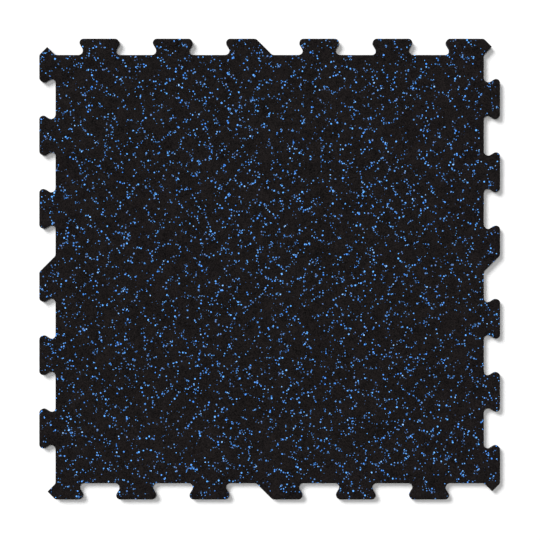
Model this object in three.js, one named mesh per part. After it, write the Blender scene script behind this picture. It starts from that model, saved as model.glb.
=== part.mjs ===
import * as THREE from 'three';

// Interlocking rubber floor tile, lying flat: X and Y are the two edge directions, Z is up.
// The origin is under the middle of the tile, on the floor.
// All sizes are in millimetres.

// Driving dimensions
const MODULE = 588; // step from one laid tile to the next, along X and along Y
const TAB_DEPTH = 21.5; // from the foot of the tabs to their outer face
const THICKNESS = 8;
const FIRST_FLANK = 44.6; // corner point to the middle of the first flank
const LAST_FLANK = 58.9; // middle of the last flank to the next corner point
const FLANKS = 11; // along one edge, counting the slanting step in the middle
const UNDERCUT = 4.4; // how far a tab's head stands out past its neck, on each flank
const CORNER_R = 5.6; // rounding of the heads and of the sockets
const LAID_GAP = 0.5; // clearance between the edges of two laid tiles
const ARC_STEP = THREE.MathUtils.degToRad(14); // longest stretch of a rounding drawn straight

// Derived sizes
const slack = LAID_GAP / 2; // each tile gives up half of the clearance
const pitch = (MODULE - FIRST_FLANK - LAST_FLANK) / (FLANKS - 1); // one flank to the next
const middle = (FLANKS - 1) / 2;
const slant = THREE.MathUtils.degToRad(45);
const slantShift = CORNER_R * (Math.SQRT2 - 1); // from a slant's end to the centre of its rounding
const centreRun = 2 * CORNER_R - UNDERCUT; // between the two rounding centres of a flank
const centreRise = TAB_DEPTH - 2 * CORNER_R;
const straight = Math.sqrt(centreRun ** 2 + centreRise ** 2 - 4 * CORNER_R ** 2);
const lean = Math.atan2(centreRise, centreRun) + Math.atan2(2 * CORNER_R, straight);

// Flank places along an edge, seen from one end and from the other
const fromStart = Array.from({ length: FLANKS }, (_, i) => FIRST_FLANK + i * pitch);
const fromEnd = fromStart.map((place) => MODULE - place).reverse();

// One rounding of an edge that runs along local X with the outside towards local Y.
// A turn to the left rounds a socket, a turn to the right rounds a head.
function rounding(along, out, from, to) {
  const left = to > from;
  const radius = left ? CORNER_R + slack : CORNER_R - slack;
  const quarter = left ? -Math.PI / 2 : Math.PI / 2;
  const arc = new THREE.ArcCurve(along, out, radius, from + quarter, to + quarter, !left);
  return arc.getPoints(Math.ceil(Math.abs(to - from) / ARC_STEP));
}

// Roundings at the foot of an edge and at the face of its tabs
const atFoot = (along, from, to) => rounding(along, CORNER_R, from, to);
const atFace = (along, from, to) => rounding(along, TAB_DEPTH - CORNER_R, from, to);

// The flank that begins a tab, and the one that ends it, both leaning out over the socket
function tabStart(place) {
  const reach = UNDERCUT / 2 - CORNER_R;
  return [...atFoot(place + reach, 0, lean), ...atFace(place - reach, lean, 0)];
}

function tabEnd(place) {
  const reach = UNDERCUT / 2 - CORNER_R;
  return [...atFace(place + reach, 0, -lean), ...atFoot(place - reach, -lean, 0)];
}

// The two ends of a 45 degree slant that runs down through half depth at the given place
const slantTop = (place) => atFace(place - TAB_DEPTH / 2 - slantShift, 0, -slant);
const slantFoot = (place) => atFoot(place + TAB_DEPTH / 2 + slantShift, -slant, 0);

// One whole edge, from its corner point to just before the next one.
// The tabs change over at the slant in the middle, so both halves start with a socket.
function edge(places) {
  const points = [new THREE.Vector2(0, TAB_DEPTH / 2 - slack * Math.SQRT2), ...slantFoot(0)];
  places.forEach((place, i) => {
    if (i === middle) {
      points.push(...slantTop(place), ...slantFoot(place));
    } else {
      points.push(...(i % 2 === 0 ? tabStart(place) : tabEnd(place)));
    }
  });
  points.push(...slantTop(MODULE));
  return points;
}

// Outline, clockwise from the upper left corner point.
// The left edge is the right one moved by a module and the lower edge is the upper one, so tiles mesh.
const turns = [fromStart, fromStart, fromEnd, fromEnd];
const outline = turns.flatMap((places, side) => {
  const angle = (-side * Math.PI) / 2;
  const corner = new THREE.Vector2(-MODULE / 2, MODULE / 2 - TAB_DEPTH / 2);
  return edge(places).map((p) => p.add(corner).rotateAround(new THREE.Vector2(), angle));
});

const tile = new THREE.Mesh(
  new THREE.ExtrudeGeometry(new THREE.Shape(outline), { depth: THICKNESS, bevelEnabled: false }),
  new THREE.MeshStandardMaterial({ color: 0x1d1b1b, roughness: 0.88, metalness: 0 }),
);
tile.name = 'rubber_tile';

const floorTile = new THREE.Group();
floorTile.name = 'interlocking_rubber_floor_tile';
floorTile.add(tile);

export default floorTile;
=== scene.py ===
"""Interlocking rubber floor tile: the finish of the slab around its CAD frame, in metres.

The tile is cut from a pressed sheet of rubber crumb, black with blue granules bonded through it.
"""

import math

import bpy
import numpy as np
from mathutils.geometry import delaunay_2d_cdt
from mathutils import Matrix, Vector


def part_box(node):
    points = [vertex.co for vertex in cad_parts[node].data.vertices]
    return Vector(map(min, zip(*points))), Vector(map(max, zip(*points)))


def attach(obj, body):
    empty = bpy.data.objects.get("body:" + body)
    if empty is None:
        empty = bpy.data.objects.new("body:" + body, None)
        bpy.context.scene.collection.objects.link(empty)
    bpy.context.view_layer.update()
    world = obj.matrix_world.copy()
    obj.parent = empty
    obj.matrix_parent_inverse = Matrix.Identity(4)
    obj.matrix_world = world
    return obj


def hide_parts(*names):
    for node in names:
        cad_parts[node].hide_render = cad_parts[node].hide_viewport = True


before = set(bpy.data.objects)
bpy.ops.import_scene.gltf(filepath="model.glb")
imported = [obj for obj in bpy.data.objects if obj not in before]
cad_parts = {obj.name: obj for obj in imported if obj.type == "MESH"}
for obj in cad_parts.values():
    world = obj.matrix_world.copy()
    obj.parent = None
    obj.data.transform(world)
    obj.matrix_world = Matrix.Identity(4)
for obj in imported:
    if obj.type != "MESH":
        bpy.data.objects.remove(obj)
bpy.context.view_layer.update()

NODE = "rubber_tile"  # the CAD solid that the finished slab stands for
MM = 0.001  # in metres

# Sizes of the cut in millimetres, as the CAD solid has them
TAB_DEPTH = 21.5  # from the foot of the tabs to their outer face
FIRST_FLANK = 44.6  # corner point to the middle of the first flank
LAST_FLANK = 58.9  # middle of the last flank to the next corner point
FLANKS = 11  # along one edge, counting the slanting step in the middle
UNDERCUT = 4.4  # how far a tab's head stands out past its neck, on each flank
CORNER_R = 5.6  # rounding of the heads and of the sockets
LAID_GAP = 0.5  # clearance between the edges of two laid tiles
SLANT = math.radians(45)  # of the corner points and of the step in the middle of an edge

low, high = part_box(NODE)
OVERALL = (high[0] - low[0]) / MM
THICKNESS = (high[2] - low[2]) / MM
MODULE = OVERALL - TAB_DEPTH + LAID_GAP  # step from one laid tile to the next

# Finish of the cut sheet in millimetres
TOP_ARRIS = 0.5  # rounding where the cut meets the wear face
UNDER_ARRIS = 0.3
RELIEF = 0.25  # the most that two places of the wear face can differ in height
RELIEF_WAVES = (  # width of each wave, its share of the relief, and its seed
    (4.6, 0.55, 11),  # single granules
    (11.0, 0.25, 12),  # clumps of granules
    (70.0, 0.20, 13),  # slow swell of the sheet
)
PIT_DEPTH = 0.24  # the most that a torn granule's pit can go into the cut edge
PIT_WIDTH = 1.7  # from one pit to the next
PIT_PATCH = 5.0  # width of the stretches that are more pitted, or less

# Mesh spacing in millimetres, and points on its curves
EDGE_STEP = 1.05  # along the cut edge
TOP_STEP = 2.5  # on the wear face
UNDER_STEP = 14.0  # on the underside, which is flat
GRID_SHAKE = 0.22  # how far a point of either face is shaken off its square grid, in steps
ROUNDING_POINTS = 25  # on each rounding of the outline, before it is cut into equal steps
ARRIS_POINTS = 4  # round each arris
WALL_POINTS = 6  # up the straight part of the cut, both its ends counted
SAME_POINT = 1e-7  # points of a face closer than this are merged

# The photograph's frame
FRAME_PIXELS = 540
MM_PER_PIXEL = 1.3209  # at the height of the wear face
TILE_MIDDLE_PIXEL = (269.67, 269.1)  # to the right and down
LENS = 85.0
SENSOR = 36.0


def lattice_noise(x, y, z, size, seed):
    """Smooth noise from 0 to 1 at points in mm.

    Each point lies in a cube of the given size, whose eight corners have random heights. The heights
    are blended by 3f^2 - 2f^3 of the point's place f inside the cube.
    """
    repeat = 64  # cubes before the random heights come round again
    table = np.random.default_rng(seed).random((repeat, repeat, repeat))
    place = np.stack(np.broadcast_arrays(x, y, z), -1) / size
    cube = np.floor(place).astype(int)
    f = place - cube
    f = f * f * (3 - 2 * f)
    total = 0
    for corner in np.ndindex(2, 2, 2):
        weight = np.prod(np.where(corner, f, 1 - f), -1)
        i, j, k = np.moveaxis((cube + corner) % repeat, -1, 0)
        total = total + weight * table[i, j, k]
    return total


def edge_line(flanks):
    """Points along one edge in mm, from its corner point to the next, with the outside towards y.

    The edge is a run of roundings joined by straight stretches. A rounding is an arc about its centre.
    The angle of its radius runs from the heading before it to the heading after it, plus a quarter
    turn round a head, or less a quarter turn round a socket. The line is then cut into equal steps.
    """
    slack = LAID_GAP / 2
    slant_shift = CORNER_R * (math.sqrt(2) - 1)
    run = 2 * CORNER_R - UNDERCUT
    rise = TAB_DEPTH - 2 * CORNER_R
    straight = math.sqrt(run**2 + rise**2 - 4 * CORNER_R**2)
    lean = math.atan2(rise, run) + math.atan2(2 * CORNER_R, straight)
    reach = UNDERCUT / 2 - CORNER_R

    # A rounding is its place along the edge, whether it lies at the foot, and its two headings
    def slant_top(place):
        return (place - TAB_DEPTH / 2 - slant_shift, False, 0, -SLANT)

    def slant_foot(place):
        return (place + TAB_DEPTH / 2 + slant_shift, True, -SLANT, 0)

    turns = [slant_foot(0)]
    for i, place in enumerate(flanks):
        if i == FLANKS // 2:
            turns += [slant_top(place), slant_foot(place)]
        elif i % 2 == 0:
            turns += [(place + reach, True, 0, lean), (place - reach, False, lean, 0)]
        else:
            turns += [(place + reach, False, 0, -lean), (place - reach, True, -lean, 0)]
    turns.append(slant_top(MODULE))

    along, foot, start, stop = np.array(turns, float).T[:, :, None]
    left = stop > start
    radius = CORNER_R + np.where(left, slack, -slack)
    out = np.where(foot > 0, CORNER_R, TAB_DEPTH - CORNER_R)
    quarter = np.where(left, -math.pi / 2, math.pi / 2)
    angle = start + (stop - start) * np.linspace(0, 1, ROUNDING_POINTS) + quarter
    arcs = np.stack([along + radius * np.cos(angle), out + radius * np.sin(angle)], -1).reshape(-1, 2)
    tip_out, tip_slack = TAB_DEPTH / 2, slack * math.sqrt(2)
    line = np.vstack([[0, tip_out - tip_slack], arcs, [MODULE - tip_slack, tip_out]])

    walked = np.r_[0, np.cumsum(np.linalg.norm(np.diff(line, axis=0), axis=1))]
    steps = np.linspace(0, walked[-1], round(walked[-1] / EDGE_STEP) + 1)[:-1]
    return np.stack([np.interp(steps, walked, line[:, i]) for i in (0, 1)], -1)


def tile_outline():
    """The cut outline in mm, clockwise seen from above: four edge lines, each turned a quarter further."""
    flanks = np.linspace(FIRST_FLANK, MODULE - LAST_FLANK, FLANKS)
    edges = []
    for side, places in enumerate([flanks, flanks, MODULE - flanks[::-1], MODULE - flanks[::-1]]):
        x, y = (edge_line(places) + [-MODULE / 2, MODULE / 2 - TAB_DEPTH / 2]).T
        c, s = math.cos(-side * math.pi / 2), math.sin(-side * math.pi / 2)
        edges.append(np.stack([c * x - s * y, s * x + c * y], -1))
    return np.vstack(edges)


def inward(outline):
    """At each point, the step that moves both neighbouring stretches of a clockwise line in by 1 mm.

    It is the sum of the two stretches' inward normals over one plus their dot product.
    """
    ahead = np.roll(outline, -1, 0) - outline
    ahead /= np.linalg.norm(ahead, axis=1)[:, None]
    normal = np.stack([ahead[:, 1], -ahead[:, 0]], -1)
    before = np.roll(normal, 1, 0)
    return (normal + before) / (1 + (normal * before).sum(1))[:, None]


def wear_height(x, y):
    """Height of the wear face in mm: the full thickness less what the waves leave of the relief.

    The waves are smooth noises of three widths, added up by their shares.
    """
    waves = sum(share * lattice_noise(x, y, 0.0, width, seed) for width, share, seed in RELIEF_WAVES)
    return THICKNESS - RELIEF * (1 - waves)


def face_points(ring, step, seed):
    """Points of a slightly shaken square grid over the tile that stay clear of the ring of edge points.

    The plane is cut into squares one step wide. A grid point is left out where a point of the ring
    lies in its square or in one of the eight around it.
    """
    shake = np.random.default_rng(seed)
    ticks = np.arange(-OVERALL / 2, OVERALL / 2, step)
    grid = np.stack(np.meshgrid(ticks, ticks), -1).reshape(-1, 2)
    grid += shake.uniform(-GRID_SHAKE, GRID_SHAKE, grid.shape) * step
    near = np.floor(ring / step).astype(int)
    near = (near[:, None] + np.array(list(np.ndindex(3, 3))) - 1).reshape(-1, 2)
    numbering = [4096, 1]  # gives each square a number of its own
    taken = np.unique(near @ numbering)
    return grid[~np.isin(np.floor(grid / step).astype(int) @ numbering, taken)]


def fill(ring, points, first, extra):
    """Triangles over the inside of the ring and through the points, counterclockwise, as vertex numbers.

    The ring's points are numbered on from first, and the other points from extra.
    """
    n = len(ring)
    loop = np.stack([np.arange(n), np.roll(np.arange(n), -1)], -1)
    verts = np.vstack([ring, points])
    inside_only = 1
    _, _, faces, origins, _, _ = delaunay_2d_cdt(verts.tolist(), loop.tolist(), [], inside_only, SAME_POINT)
    number = np.array([o[0] if o else -1 for o in origins])
    triangles = number[np.array(faces)]
    a, b, c = (verts[triangles[:, i]] for i in range(3))
    area = (b[:, 0] - a[:, 0]) * (c[:, 1] - a[:, 1]) - (b[:, 1] - a[:, 1]) * (c[:, 0] - a[:, 0])
    triangles[area < 0] = triangles[area < 0][:, ::-1]
    return np.where(triangles < n, triangles + first, triangles - n + extra)


def cut_section():
    """The section of the cut edge, from the underside up: how far in, and how high, in mm.

    Two quarter circles of the arris radii with a straight wall between them.
    """
    turn = np.linspace(0, math.pi / 2, ARRIS_POINTS)
    under = np.stack([UNDER_ARRIS * (1 - np.sin(turn)), UNDER_ARRIS * (1 - np.cos(turn))], -1)
    over = np.stack([TOP_ARRIS * (1 - np.cos(turn)), THICKNESS - TOP_ARRIS * (1 - np.sin(turn))], -1)
    wall = np.linspace(UNDER_ARRIS, THICKNESS - TOP_ARRIS, WALL_POINTS)[1:-1]
    return np.vstack([under, np.stack([0 * wall, wall], -1), over])


def put(name, data):
    """Adds an object that shows the data to the scene."""
    made = bpy.data.objects.new(name, data)
    bpy.context.collection.objects.link(made)
    return made


def tile_body(name):
    """The slab: the cut section carried round the outline, closed by the wear face and the underside.

    Each point of the wall is the outline point moved in by the section and by the pits of the cut,
    and its height is scaled to that of the wear face above it. A pit is the product of two noises.
    """
    outline = tile_outline()
    step_in = inward(outline)
    section = cut_section()
    flat = outline[None] + step_in[None] * section[:, :1, None]
    x, y = flat[..., 0], flat[..., 1]
    z = section[:, 1:] * wear_height(x, y) / THICKNESS
    pits = lattice_noise(x, y, z, PIT_WIDTH, seed=21) * lattice_noise(x, y, z, PIT_PATCH, seed=22)
    flat = flat + step_in[None] * (PIT_DEPTH * pits)[..., None]
    rows, n = flat.shape[:2]
    walls = np.concatenate([flat, z[..., None]], -1).reshape(-1, 3)

    top = face_points(flat[-1], TOP_STEP, seed=31)
    under = face_points(flat[0], UNDER_STEP, seed=32)
    inside_top = fill(flat[-1], top, (rows - 1) * n, rows * n)
    inside_under = fill(flat[0], under, 0, rows * n + len(top))[:, ::-1]
    top = np.column_stack([top, wear_height(*top.T)])
    under = np.column_stack([under, np.zeros(len(under))])
    verts = np.vstack([walls, top, under]) * MM

    i, r = np.meshgrid(np.arange(n), np.arange(rows - 1) * n)
    after = (i + 1) % n
    wall_faces = np.stack([r + i, r + n + i, r + n + after, r + after], -1).reshape(-1, 4)

    # Grid points outside the outline belong to no triangle: they are left out, the rest numbered anew
    caps = np.vstack([inside_top, inside_under])
    kept = np.union1d(wall_faces, caps)
    faces = [np.searchsorted(kept, some).tolist() for some in (wall_faces, caps)]
    mesh = bpy.data.meshes.new(name)
    mesh.from_pydata(verts[kept].tolist(), [], faces[0] + faces[1])
    mesh.shade_smooth()
    return put(name, mesh)


def linear(code):
    """The linear RGBA of an sRGB hex colour."""
    parts = [int(code[i : i + 2], 16) / 255 for i in (1, 3, 5)]
    return (*[c / 12.92 if c <= 0.04045 else ((c + 0.055) / 1.055) ** 2.4 for c in parts], 1.0)


def add(tree, kind, sockets=None, **settings):
    """Adds a node with its settings, and gives each named socket a value or a link from an output."""
    made = tree.nodes.new("ShaderNode" + kind)
    for name, value in settings.items():
        setattr(made, name, value)
    for name, value in (sockets or {}).items():
        if isinstance(value, bpy.types.NodeSocket):
            tree.links.new(value, made.inputs[name])
        else:
            made.inputs[name].default_value = value
    return made


def new_material(name):
    """An empty node material with its output, as (material, tree, output)."""
    material = bpy.data.materials.new(name)
    material.use_nodes = True
    material.node_tree.nodes.clear()
    return material, material.node_tree, add(material.node_tree, "OutputMaterial")


# A Mix node names its colour sockets like its number sockets, so they go by their order
MIX_FIRST, MIX_SECOND, MIX_RESULT = 6, 7, 2

# All granules: smooth noise bends their outlines, sizes in mm
BEND_WIDTH = 2.4  # from one bend to the next
BEND = 0.9  # how far a point is moved at most, along each axis

# Black rubber: three patterns are added up and give its shade, sizes in mm and shares of the sum
BLACK_LUMP = 15.0  # width of the lumps that are a little lighter or darker, whose share is 1
BLACK_GRANULE = 1.4  # between the middles of two black granules, each with a shade of its own
BLACK_GRANULE_SHARE = 0.75
TOOTH = 1.0  # fine tooth of the rubber, drawn coarser than the real one so that it still shows
TOOTH_SHARE = 2.8
DARKEST_SUM = 1.525  # the sum that gives the darkest black
LIGHTEST_SUM = 3.175
DARKEST_BLACK = "#010101"
LIGHTEST_BLACK = "#211d1d"

# Grain of the surface
CREASE = 0.9  # fall from a granule's middle to one cell away, where the tooth is 1 high
GRAIN_HEIGHT = 0.3  # mm for a height of 1
ROUGHNESS_RANGE = (0.8, 0.95)
GLOSS_RANGE = (0.05, 0.01)  # the roughest granules have the least gloss
SHEEN = 0.035  # dust of the rubber, which pales it a little against the light

# Blue granules in two sizes, in mm: cell that holds one granule, shift of the pattern, smallest,
# largest, and the chance that a granule is blue where they are crowded
BLUE_SIZES = (
    (2.2, (3.1, 7.7, 5.3), 0.5, 1.5, 0.39),
    (2.7, (0.0, 0.0, 0.0), 1.0, 2.5, 0.54),
)
SIZE_BIAS = 1.25  # above 1, small granules are commoner than large ones
GRANULE_GAP = 0.35  # mm of binder between two granules
GRANULE_EDGE = 0.08  # mm from a granule's outline over which its colour fades

# How the blue granules are spread
LUMP = 19.3  # mm between the middles of two lumps of the mix
LUMP_TURN = math.radians(45)  # of the rows of lumps against the edges of the tile
LUMP_SHUFFLE = 0.6  # how far the lumps lie off their rows, from 0 to 1
SEAM = 0.134  # half width of a seam, in lumps
SEAM_FADE = 0.08  # either side of that width, over which the crowding ends
STRAY = 0.01  # chance of a blue granule in the middle of a lump
KNOT = 10.0  # mm between two crowded places along a seam
KNOT_NOISE = (0.36, 0.6)  # the noise in the thin places and in the crowded ones
KNOT_THIN = 0.38  # how crowded the thin places are, where the crowded ones are 1

# Colour stops of the blue granules: dusty ones first, then clean ones, and a few pale ones at the end
GRANULE_BLUES = [
    (0.00, "#3d6ea9"),
    (0.12, "#607bb0"),
    (0.22, "#4d84c1"),
    (0.32, "#3b7ac7"),
    (0.45, "#5e92d4"),
    (0.58, "#408cf0"),
    (0.70, "#5c9ff8"),
    (0.82, "#67afff"),
    (0.94, "#5fafff"),
    (1.00, "#98c8ff"),
]


def blue_granules(tree, place, cell, shift, smallest, largest, crowded):
    """One size of granule: a 0 to 1 mask of where it shows, and a random number for each granule.

    The cells of a 3-D Voronoi pattern hold one granule each, a ball that its neighbours cut off short
    of touching. The cut through the sheet meets the balls at any height, so they show in many sizes.
    Much larger cells stand for the lumps in the mix. Blue granules gather along the seams between
    them, and smooth noise makes knots on the seams, where they are more crowded. A cell's own colour
    repeats its place, so white noise makes the random numbers from it.
    """
    moved = add(tree, "VectorMath", {0: place, 1: shift}, operation="ADD").outputs[0]
    pattern = {"Vector": moved, "Scale": 1 / cell}
    ball = add(tree, "TexVoronoi", pattern, voronoi_dimensions="3D")
    beyond = add(tree, "TexVoronoi", pattern, voronoi_dimensions="3D", feature="F2")
    rolled = add(tree, "TexWhiteNoise", {"Vector": ball.outputs["Color"]}, noise_dimensions="3D")
    dice = add(tree, "SeparateColor", {"Color": rolled.outputs["Color"]})

    # How deep a point lies in its ball, and in the half of the space to the next ball
    spread = add(tree, "Math", {0: dice.outputs[0], 1: SIZE_BIAS}, operation="POWER")
    radius = add(tree, "MapRange", {"Value": spread.outputs[0], "To Min": smallest / 2 / cell,
                                    "To Max": largest / 2 / cell})
    depth = add(tree, "Math", {0: radius.outputs[0], 1: ball.outputs["Distance"]}, operation="SUBTRACT")
    apart = add(tree, "Math", {0: beyond.outputs["Distance"], 1: ball.outputs["Distance"]},
                operation="SUBTRACT")
    room = add(tree, "Math", {0: apart.outputs[0], 1: 0.5, 2: -GRANULE_GAP / 2 / cell},
               operation="MULTIPLY_ADD")
    depth = add(tree, "Math", {0: depth.outputs[0], 1: room.outputs[0]}, operation="MINIMUM")
    inside = add(tree, "MapRange", {"Value": depth.outputs[0], "From Min": -GRANULE_EDGE / cell,
                                    "From Max": GRANULE_EDGE / cell})

    # How likely the ball is blue, from the place of its middle
    centre = add(tree, "VectorMath", {0: ball.outputs["Position"], 1: shift}, operation="SUBTRACT")
    turned = add(tree, "Mapping", {"Vector": centre.outputs[0], "Rotation": (0, 0, LUMP_TURN)})
    seam = add(tree, "TexVoronoi", {"Vector": turned.outputs[0], "Scale": 1 / LUMP,
                                    "Randomness": LUMP_SHUFFLE},
               voronoi_dimensions="3D", feature="DISTANCE_TO_EDGE")
    chance = add(tree, "MapRange", {"Value": seam.outputs["Distance"], "From Min": SEAM + SEAM_FADE,
                                    "From Max": SEAM - SEAM_FADE, "To Min": STRAY, "To Max": crowded})
    knot = add(tree, "TexNoise", {"Vector": centre.outputs[0], "Scale": 1 / KNOT, "Detail": 0.0})
    thick = add(tree, "MapRange", {"Value": knot.outputs["Fac"], "From Min": KNOT_NOISE[0],
                                   "From Max": KNOT_NOISE[1], "To Min": KNOT_THIN})
    chance = add(tree, "Math", {0: chance.outputs[0], 1: thick.outputs[0]}, operation="MULTIPLY")
    blue = add(tree, "Math", {0: dice.outputs[1], 1: chance.outputs[0]}, operation="LESS_THAN")
    mask = add(tree, "Math", {0: inside.outputs[0], 1: blue.outputs[0]}, operation="MULTIPLY")
    return mask.outputs[0], dice.outputs[2]


def bonded_crumb_rubber():
    """Pressed recycled rubber crumb bound with polyurethane, with EPDM granules dyed blue through it.

    To the eye it is dead matt and nearly black, with a fine grain, and with clean-edged specks of
    about 0.5 to 2.5 mm in many blues, which lie in strings and clumps.
    """
    material, tree, output = new_material("bonded_crumb_rubber")
    coordinate = add(tree, "TexCoord")
    in_mm = add(tree, "Mapping", {"Vector": coordinate.outputs["Object"], "Scale": (1000, 1000, 1000)})
    bend = add(tree, "TexNoise", {"Vector": in_mm.outputs[0], "Scale": 1 / BEND_WIDTH, "Detail": 1.0})
    place = add(tree, "VectorMath", {0: bend.outputs["Color"], 1: (BEND, BEND, BEND), 2: in_mm.outputs[0]},
                operation="MULTIPLY_ADD").outputs[0]

    # Black rubber
    black = add(tree, "TexVoronoi", {"Vector": place, "Scale": 1 / BLACK_GRANULE}, voronoi_dimensions="3D")
    tone = add(tree, "SeparateColor", {"Color": black.outputs["Color"]})
    lumps = add(tree, "TexNoise", {"Vector": in_mm.outputs[0], "Scale": 1 / BLACK_LUMP, "Detail": 3.0})
    tooth = add(tree, "TexNoise", {"Vector": in_mm.outputs[0], "Scale": 1 / TOOTH, "Detail": 2.0})
    shade = add(tree, "Math", {0: tone.outputs[0], 1: BLACK_GRANULE_SHARE, 2: lumps.outputs["Fac"]},
                operation="MULTIPLY_ADD")
    shade = add(tree, "Math", {0: tooth.outputs["Fac"], 1: TOOTH_SHARE, 2: shade.outputs[0]},
                operation="MULTIPLY_ADD")
    shade = add(tree, "MapRange", {"Value": shade.outputs[0], "From Min": DARKEST_SUM,
                                   "From Max": LIGHTEST_SUM})
    colour = add(tree, "Mix", {"Factor": shade.outputs[0], MIX_FIRST: linear(DARKEST_BLACK),
                               MIX_SECOND: linear(LIGHTEST_BLACK)}, data_type="RGBA").outputs[MIX_RESULT]

    # Blue granules, the larger ones over the smaller
    for layer in BLUE_SIZES:
        mask, dice = blue_granules(tree, place, *layer)
        ramp = add(tree, "ValToRGB", {"Fac": dice})
        stops = ramp.color_ramp.elements
        for i, (position, code) in enumerate(GRANULE_BLUES):
            stop = stops[i] if i < 2 else stops.new(position)
            stop.position = position
            stop.color = linear(code)
        colour = add(tree, "Mix", {"Factor": mask, MIX_FIRST: colour, MIX_SECOND: ramp.outputs["Color"]},
                     data_type="RGBA").outputs[MIX_RESULT]

    # Grain: rounded granules with creases between them, and the tooth over all
    height = add(tree, "Math", {0: black.outputs["Distance"], 1: -CREASE, 2: tooth.outputs["Fac"]},
                 operation="MULTIPLY_ADD")
    bump = add(tree, "Bump", {"Height": height.outputs[0], "Strength": 1.0, "Distance": GRAIN_HEIGHT * MM})

    roughness = add(tree, "MapRange", {"Value": tone.outputs[1], "To Min": ROUGHNESS_RANGE[0],
                                       "To Max": ROUGHNESS_RANGE[1]})
    gloss = add(tree, "MapRange", {"Value": tone.outputs[1], "To Min": GLOSS_RANGE[0],
                                   "To Max": GLOSS_RANGE[1]})
    shader = add(tree, "BsdfPrincipled", {"Base Color": colour, "Roughness": roughness.outputs[0],
                                          "Normal": bump.outputs[0], "Specular IOR Level": gloss.outputs[0],
                                          "Sheen Weight": SHEEN, "Sheen Roughness": 0.5})
    tree.links.new(shader.outputs[0], output.inputs["Surface"])
    return material


# Studio lights: elevation and spread in degrees, strength in W/m2
KEY_LIGHT = (39.1, 27.7, 4.22)
TOP_LIGHT = (79.4, 18.9, 1.14)
LIGHT_TURN = -45  # degrees round the vertical, from the left of the frame to its upper left
FILL = 0.21  # strength of the white room as a light
BACKDROP = 1.0  # its strength as the background of the picture
FLOOR_REACH = 30.0  # metres from the middle of the floor to its edges
FLOOR_DROP = 0.02  # mm between the floor and the underside, so that they don't lie in one plane


def studio_floor():
    """A wide pale sheet of matt paper under the tile."""
    material, tree, output = new_material("matt_paper")
    shader = add(tree, "BsdfPrincipled", {"Base Color": (0.8, 0.8, 0.8, 1), "Roughness": 1.0,
                                          "Specular IOR Level": 0.0})
    tree.links.new(shader.outputs[0], output.inputs["Surface"])
    corners = [(x * FLOOR_REACH, y * FLOOR_REACH, 0) for x, y in ((-1, -1), (1, -1), (1, 1), (-1, 1))]
    mesh = bpy.data.meshes.new("floor")
    mesh.from_pydata(corners, [], [(0, 1, 2, 3)])
    mesh.materials.append(material)
    floor = put("floor", mesh)
    floor.location.z = -FLOOR_DROP * MM


def studio_sun(name, elevation, spread, strength):
    """A wide soft light from the upper left of the frame, tipped up by its elevation, in degrees."""
    lamp = bpy.data.lights.new(name, "SUN")
    lamp.angle = math.radians(spread)
    lamp.energy = strength
    sun = put(name, lamp)
    sun.rotation_euler = (0, -math.radians(90 - elevation), math.radians(LIGHT_TURN))


def studio():
    """The pale floor, a soft key from the upper left, a soft light overhead and a weak fill all round."""
    studio_floor()
    studio_sun("key_light", *KEY_LIGHT)
    studio_sun("top_light", *TOP_LIGHT)
    world = bpy.data.worlds.new("white_room")
    world.use_nodes = True
    world.node_tree.nodes.clear()
    white = (1, 1, 1, 1)
    fill_light = add(world.node_tree, "Background", {"Color": white, "Strength": FILL})
    seen = add(world.node_tree, "Background", {"Color": white, "Strength": BACKDROP})
    ray = add(world.node_tree, "LightPath")
    both = add(world.node_tree, "MixShader", {0: ray.outputs["Is Camera Ray"], 1: fill_light.outputs[0],
                                              2: seen.outputs[0]})
    add(world.node_tree, "OutputWorld", {"Surface": both.outputs[0]})
    bpy.context.scene.world = world
    bpy.context.scene.view_settings.view_transform = "Standard"


def camera():
    """A long lens straight above the tile, at the height that gives the photograph's scale."""
    middle = FRAME_PIXELS / 2
    lens = bpy.data.cameras.new("camera")
    lens.lens = LENS
    lens.sensor_width = SENSOR
    eye = put("camera", lens)
    distance = FRAME_PIXELS * MM_PER_PIXEL * LENS / SENSOR
    eye.location = (
        (middle - TILE_MIDDLE_PIXEL[0]) * MM_PER_PIXEL * MM,
        (TILE_MIDDLE_PIXEL[1] - middle) * MM_PER_PIXEL * MM,
        (THICKNESS + distance) * MM,
    )
    bpy.context.scene.camera = eye


camera()
studio()
rubber = bonded_crumb_rubber()
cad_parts[NODE].data.materials.clear()
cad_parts[NODE].data.materials.append(rubber)
tile = tile_body("rubber_floor_tile")
tile.data.materials.append(rubber)
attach(tile, "root")
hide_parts(NODE)
